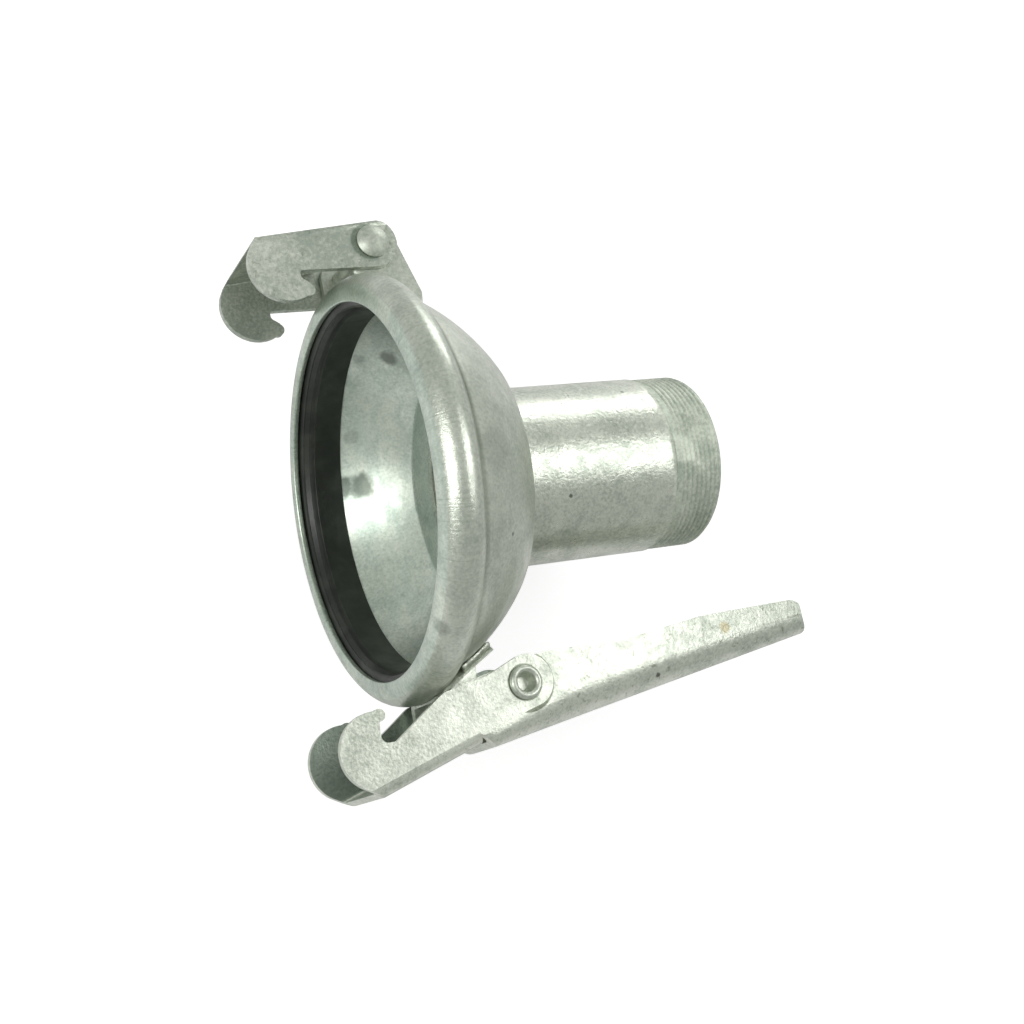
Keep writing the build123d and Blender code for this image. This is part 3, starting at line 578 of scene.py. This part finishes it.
class COUPLING_OT_threaded_pipe(bpy.types.Operator):
    """Turn the pipe stub and cut its male thread"""

    bl_idname = "coupling.threaded_pipe"
    bl_label = "Threaded Pipe"

    def execute(self, context):
        thread = context.scene.coupling_thread
        start = THREAD_START
        end = PIPE_HIGH.x
        outer = PIPE_HIGH.y
        root = THREAD_CREST - thread.depth
        run_in = start - 0.0009
        pipe = lathe("threaded_pipe_zinc", (
            (PIPE_LOW.x, PIPE_BORE),
            (PIPE_LOW.x, outer),
            (run_in - 0.0005, outer),
            (run_in, outer - 0.0004),
            (start + 0.0002, root),
            (end - 0.0006, root),
            (end, root - 0.0004),
            (end, PIPE_BORE + 0.0004),
            (end - 0.0006, PIPE_BORE),
        ), PIPE_STEPS)
        ridge = self.ridge(thread, start - 2 * thread.pitch, root)
        blank = lathe("thread_blank", (
            (start, PIPE_BORE + 0.0006),
            (start, root - 0.0002),
            (start + RUN_OUT, THREAD_CREST),
            (end - CHAMFER, THREAD_CREST),
            (end - 0.0001, THREAD_CREST - CHAMFER + 0.0001),
            (end - 0.0001, PIPE_BORE + 0.0006),
        ), PIPE_STEPS)
        combine(ridge, blank, "INTERSECT")
        combine(pipe, ridge, "UNION")
        clean(pipe)
        smooth(pipe, 30)
        dress(pipe, zinc("pipe_zinc", tone=0.02, contrast=1.25, relief=0.9, rough=0.29,
                         sparkle=1.8, flecks=0.30, zone=threaded_end,
                         scars=(((0.0777, -0.0182, 0.0334), 0.0011, 0.9),
                                ((0.1159, 0.0255, 0.0283), 0.0012, 0.6),
                                ((0.1222, 0.0200, 0.0323), 0.0012, 0.6))))
        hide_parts("threaded_pipe")
        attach(pipe, "coupling")
        return {"FINISHED"}

    def ridge(self, thread, first, root):
        """One rounded ridge, wound along the pipe into a closed piece."""
        foot = root - RIDGE_SINK
        rise = thread.depth + RIDGE_SINK
        width = RIDGE_SHARE * thread.pitch
        ridge = start_outline("thread_ridge", [
            (first + width * k / RIDGE_PIECES, foot + rise * math.sin(math.pi * k / RIDGE_PIECES))
            for k in range(RIDGE_PIECES + 1)
        ])
        bpy.ops.mesh.select_all(action="SELECT")
        bpy.ops.mesh.edge_face_add()
        bpy.ops.object.mode_set(mode="OBJECT")
        turn = ridge.modifiers.new("thread", "SCREW")
        turn.axis = "X"
        turn.angle = 2 * math.pi
        turn.screw_offset = thread.pitch
        turn.iterations = RIDGE_TURNS
        turn.steps = turn.render_steps = thread.steps
        turn.use_merge_vertices = False
        finish_modifiers(ridge)
        bpy.ops.object.mode_set(mode="EDIT")
        bpy.ops.mesh.select_all(action="SELECT")
        bpy.ops.mesh.remove_doubles(threshold=0.000001)
        bpy.ops.mesh.select_all(action="DESELECT")
        bpy.ops.mesh.select_non_manifold(extend=False, use_wire=False, use_multi_face=False,
                                         use_non_contiguous=False, use_verts=False)
        bpy.ops.mesh.edge_face_add()
        bpy.ops.mesh.select_all(action="SELECT")
        bpy.ops.mesh.normals_make_consistent(inside=False)
        bpy.ops.object.mode_set(mode="OBJECT")
        return ridge


class COUPLING_OT_bowl(bpy.types.Operator):
    """Give the pressed bowl its zinc coating"""

    bl_idname = "coupling.bowl"
    bl_label = "Bowl"

    def execute(self, context):
        bowl = frame["nodes"]["bowl"]
        dress(bowl, zinc("bowl_zinc", tone=0.0, contrast=0.85, relief=0.75, rough=0.31,
                         sparkle=0.9, flecks=0.12, zone=bowl_zones,
                         scars=(((0.0300, 0.0195, -0.0685), 0.0078, 0.97),
                                ((0.0225, 0.0215, -0.0720), 0.0062, 0.95),
                                ((0.0351, 0.0641, -0.0215), 0.0050, 0.75),
                                ((0.0246, 0.0676, -0.0306), 0.0036, 0.40),
                                ((0.0264, 0.0412, -0.0606), 0.0050, 0.25),
                                ((0.0016, -0.0660, 0.0522), 0.0045, 0.45),
                                ((0.0333, -0.0368, 0.0625), 0.0011, 0.8),
                                ((0.0265, -0.0064, 0.0763), 0.0130, 0.22))))
        return {"FINISHED"}


class COUPLING_OT_folded_sheets(bpy.types.Operator):
    """Round the cut edges of the folded sheet parts and coat them"""

    bl_idname = "coupling.folded_sheets"
    bl_label = "Folded Sheets"

    def execute(self, context):
        edge = context.scene.coupling_zinc.edge
        finishes = {
            "hook_bracket": dict(tone=-0.01, contrast=0.9),
            "lever_bracket": dict(tone=0.0, contrast=1.1, flecks=0.4),
            "swing_hook": dict(tone=-0.03, contrast=1.35, rough=0.40, sparkle=1.2, flecks=0.5,
                               zone=hook_zones),
            "lever": dict(tone=0.05, contrast=1.2, rough=0.34, sparkle=1.9, flecks=0.75,
                          zone=lever_zones,
                          blots=(((0.1474, -0.0789, 0.0162), 0.0036, 0.75),),
                          scars=(((0.1102, -0.0940, 0.0148), 0.0015, 0.95),)),
            "link_hook": dict(tone=0.05, contrast=1.35, rough=0.38, sparkle=2.2, flecks=0.45,
                              zone=link_zones),
        }
        for name in FOLDED_SHEETS:
            part = frame["nodes"][name]
            join = part.modifiers.new("joined", "WELD")
            join.merge_threshold = 0.00001
            soften(part, edge, live=True)
            dress(part, zinc(name + "_zinc", **finishes[name]))
        return {"FINISHED"}


class COUPLING_OT_rivets(bpy.types.Operator):
    """Coat the rivets and the hinge pin"""

    bl_idname = "coupling.rivets"
    bl_label = "Rivets"

    def execute(self, context):
        for name in RIVETS:
            dull = 0.48 if name == "hook_rivet" else 0.34
            coat = zinc(name + "_zinc", tone=0.0, contrast=0.9, relief=0.6, rough=dull)
            dress(frame["nodes"][name], coat)
        return {"FINISHED"}


class COUPLING_OT_welds(bpy.types.Operator):
    """Make the weld beads lumpy and coat them"""

    bl_idname = "coupling.welds"
    bl_label = "Welds"

    def execute(self, context):
        lumps = bpy.data.textures.new("weld_lumps", "CLOUDS")
        lumps.noise_scale = 0.0042
        lumps.noise_depth = 2
        coat = zinc("weld_zinc", tone=0.02, contrast=1.2, relief=1.3, rough=0.34)
        for name in WELD_BEADS:
            bead = frame["nodes"][name]
            even = bead.modifiers.new("even mesh", "REMESH")
            even.mode = "VOXEL"
            even.voxel_size = 0.0006
            even.use_smooth_shade = True
            lump = bead.modifiers.new("lumps", "DISPLACE")
            lump.texture = lumps
            lump.texture_coords = "LOCAL"
            lump.strength = 0.0012
            lump.mid_level = 0.55
            dress(bead, coat)
        return {"FINISHED"}


class COUPLING_OT_seal(bpy.types.Operator):
    """Give the lip seal its rubber"""

    bl_idname = "coupling.seal"
    bl_label = "Lip Seal"

    def execute(self, context):
        look = context.scene.coupling_rubber
        material = bpy.data.materials.new("seal_rubber")
        material.use_nodes = True
        tree = material.node_tree
        shader = tree.nodes["Principled BSDF"]
        place = node(tree, "TexCoord").outputs["Object"]
        bloom = noise(tree, place, 0.020, detail=5, roughness=0.6)
        fine = noise(tree, place, 0.0006, detail=2)
        colour = mix(tree, spread(tree, bloom, 0.38, 0.68), look.black, look.dust)
        tree.links.new(colour, shader.inputs["Base Color"])
        tree.links.new(spread(tree, bloom, 0.3, 0.7, 0.42, 0.30), shader.inputs["Roughness"])
        shader.inputs["Specular IOR Level"].default_value = 0.5
        surface = bump(tree, bloom, 0.0003)
        surface = bump(tree, fine, 0.00003, surface)
        tree.links.new(surface, shader.inputs["Normal"])
        dress(frame["nodes"]["seal_ring"], material)
        return {"FINISHED"}


def facing(place, target):
    """Rotation that turns an object's -Z towards a target."""
    return (Vector(target) - Vector(place)).to_track_quat("-Z", "Y").to_euler()


def seen_white(tree, mirrored=1.0):
    """How much plain white is laid over a surface for the lens, and for mirrors and glass."""
    path = node(tree, "LightPath")
    glossy = path.outputs["Is Glossy Ray"]
    through_glass = path.outputs["Is Transmission Ray"]
    seen = math_node(tree, "ADD", glossy, through_glass, clamp=True)
    return plus(tree, path.outputs["Is Camera Ray"], times(tree, seen, mirrored))


class COUPLING_OT_studio(bpy.types.Operator):
    """Set out the floor, the room, the lamps and the camera"""

    bl_idname = "coupling.studio"
    bl_label = "Studio"

    def execute(self, context):
        setup = context.scene.coupling_studio
        scene = context.scene
        scene.view_settings.view_transform = "Standard"
        self.floor(solid_box[0].z)
        self.room(setup.surround)
        self.world(scene)
        for name, place, size, setting in LAMPS:
            self.lamp(name, place, size, getattr(setup, setting))
        self.camera(scene, setup)
        return {"FINISHED"}

    def floor(self, level):
        bpy.ops.object.select_all(action="DESELECT")
        bpy.ops.mesh.primitive_plane_add(size=FLOOR_SIZE, location=(0, 0, level - 0.0002))
        floor = bpy.context.object
        floor.name = "floor"
        bpy.ops.object.transform_apply(location=True)
        material = bpy.data.materials.new("white_floor")
        material.use_nodes = True
        tree = material.node_tree
        tree.nodes.clear()
        matt = node(tree, "BsdfDiffuse", {"Color": FLOOR_COLOUR}).outputs[0]
        share = times(tree, seen_white(tree, FLOOR_MIRRORED), FLOOR_GLOW)
        glow = node(tree, "Emission", {"Color": WHITE, "Strength": share}).outputs[0]
        both = node(tree, "AddShader", {0: matt, 1: glow}).outputs[0]
        node(tree, "OutputMaterial", {"Surface": both})
        floor.data.materials.append(material)

    def room(self, tone):
        """A dim room above the floor that only mirrored rays meet."""
        bpy.ops.mesh.primitive_uv_sphere_add(segments=32, ring_count=16, radius=ROOM_RADIUS,
                                             location=(0, 0, 0))
        room = bpy.context.object
        room.name = "room"
        material = bpy.data.materials.new("dim_room")
        material.use_nodes = True
        tree = material.node_tree
        tree.nodes.clear()
        place = node(tree, "TexCoord").outputs["Object"]
        direction = node(tree, "SeparateXYZ", {0: place}).outputs
        side = spread(tree, direction[1], -3.2, 2.4, tone * 0.85, tone * 1.15)
        glow = node(tree, "Emission", {"Color": (0.97, 1.0, 0.96, 1), "Strength": side})
        node(tree, "OutputMaterial", {"Surface": glow.outputs[0]})
        room.data.materials.append(material)
        for kind in ("camera", "diffuse", "shadow", "transmission", "volume_scatter"):
            setattr(room, "visible_" + kind, False)

    def world(self, scene):
        world = bpy.data.worlds.new("studio")
        scene.world = world
        world.use_nodes = True
        tree = world.node_tree
        tree.nodes.clear()
        seen = times(tree, seen_white(tree), 1 - SKY_LIGHT)
        strength = plus(tree, seen, SKY_LIGHT)
        light = node(tree, "Background", {"Color": WHITE, "Strength": strength}).outputs[0]
        node(tree, "OutputWorld", {"Surface": light})

    def lamp(self, name, place, size, power):
        bpy.ops.object.light_add(type="AREA", location=place, rotation=facing(place, LIT_POINT))
        lamp = bpy.context.object
        lamp.name = name
        lamp.data.shape = "RECTANGLE"
        lamp.data.size, lamp.data.size_y = size
        lamp.data.energy = power

    def camera(self, scene, setup):
        bpy.ops.object.camera_add(location=setup.eye)
        camera = bpy.context.object
        camera.name = "camera"
        back = -Vector(setup.sight).normalized()
        side = Vector(setup.upward).cross(back).normalized()
        top = back.cross(side)
        turned = Matrix((side, top, back)).transposed().to_4x4()
        camera.matrix_world = Matrix.Translation(setup.eye) @ turned
        camera.data.sensor_width = 36
        camera.data.lens = setup.lens
        scene.camera = camera


class COUPLING_PT_sidebar(bpy.types.Panel):
    """Sizes, colours and steps of the coupling"""

    bl_idname = "COUPLING_PT_sidebar"
    bl_label = "Coupling"
    bl_space_type = "VIEW_3D"
    bl_region_type = "UI"
    bl_category = "Coupling"

    def draw(self, context):
        for holder in SETTINGS:
            group = getattr(context.scene, holder)
            box = self.layout.box()
            for field in group.__annotations__:
                box.prop(group, field)
        for step in STEPS:
            self.layout.operator(step.bl_idname)


SETTINGS = {
    "coupling_zinc": ZincSettings,
    "coupling_thread": ThreadSettings,
    "coupling_rubber": RubberSettings,
    "coupling_studio": StudioSettings,
}
STEPS = (
    COUPLING_OT_bowl,
    COUPLING_OT_seal,
    COUPLING_OT_threaded_pipe,
    COUPLING_OT_welds,
    COUPLING_OT_folded_sheets,
    COUPLING_OT_rivets,
    COUPLING_OT_studio,
)


def register():
    for kind in (*SETTINGS.values(), *STEPS, COUPLING_PT_sidebar):
        bpy.utils.register_class(kind)
    for holder, kind in SETTINGS.items():
        setattr(bpy.types.Scene, holder, bpy.props.PointerProperty(type=kind))


def unregister():
    for holder in SETTINGS:
        delattr(bpy.types.Scene, holder)
    for kind in reversed((*SETTINGS.values(), *STEPS, COUPLING_PT_sidebar)):
        bpy.utils.unregister_class(kind)


def main():
    register()
    bpy.ops.coupling.bowl()
    bpy.ops.coupling.seal()
    bpy.ops.coupling.threaded_pipe()
    bpy.ops.coupling.welds()
    bpy.ops.coupling.folded_sheets()
    bpy.ops.coupling.rivets()
    bpy.ops.coupling.studio()


if __name__ == "__main__":
    main()
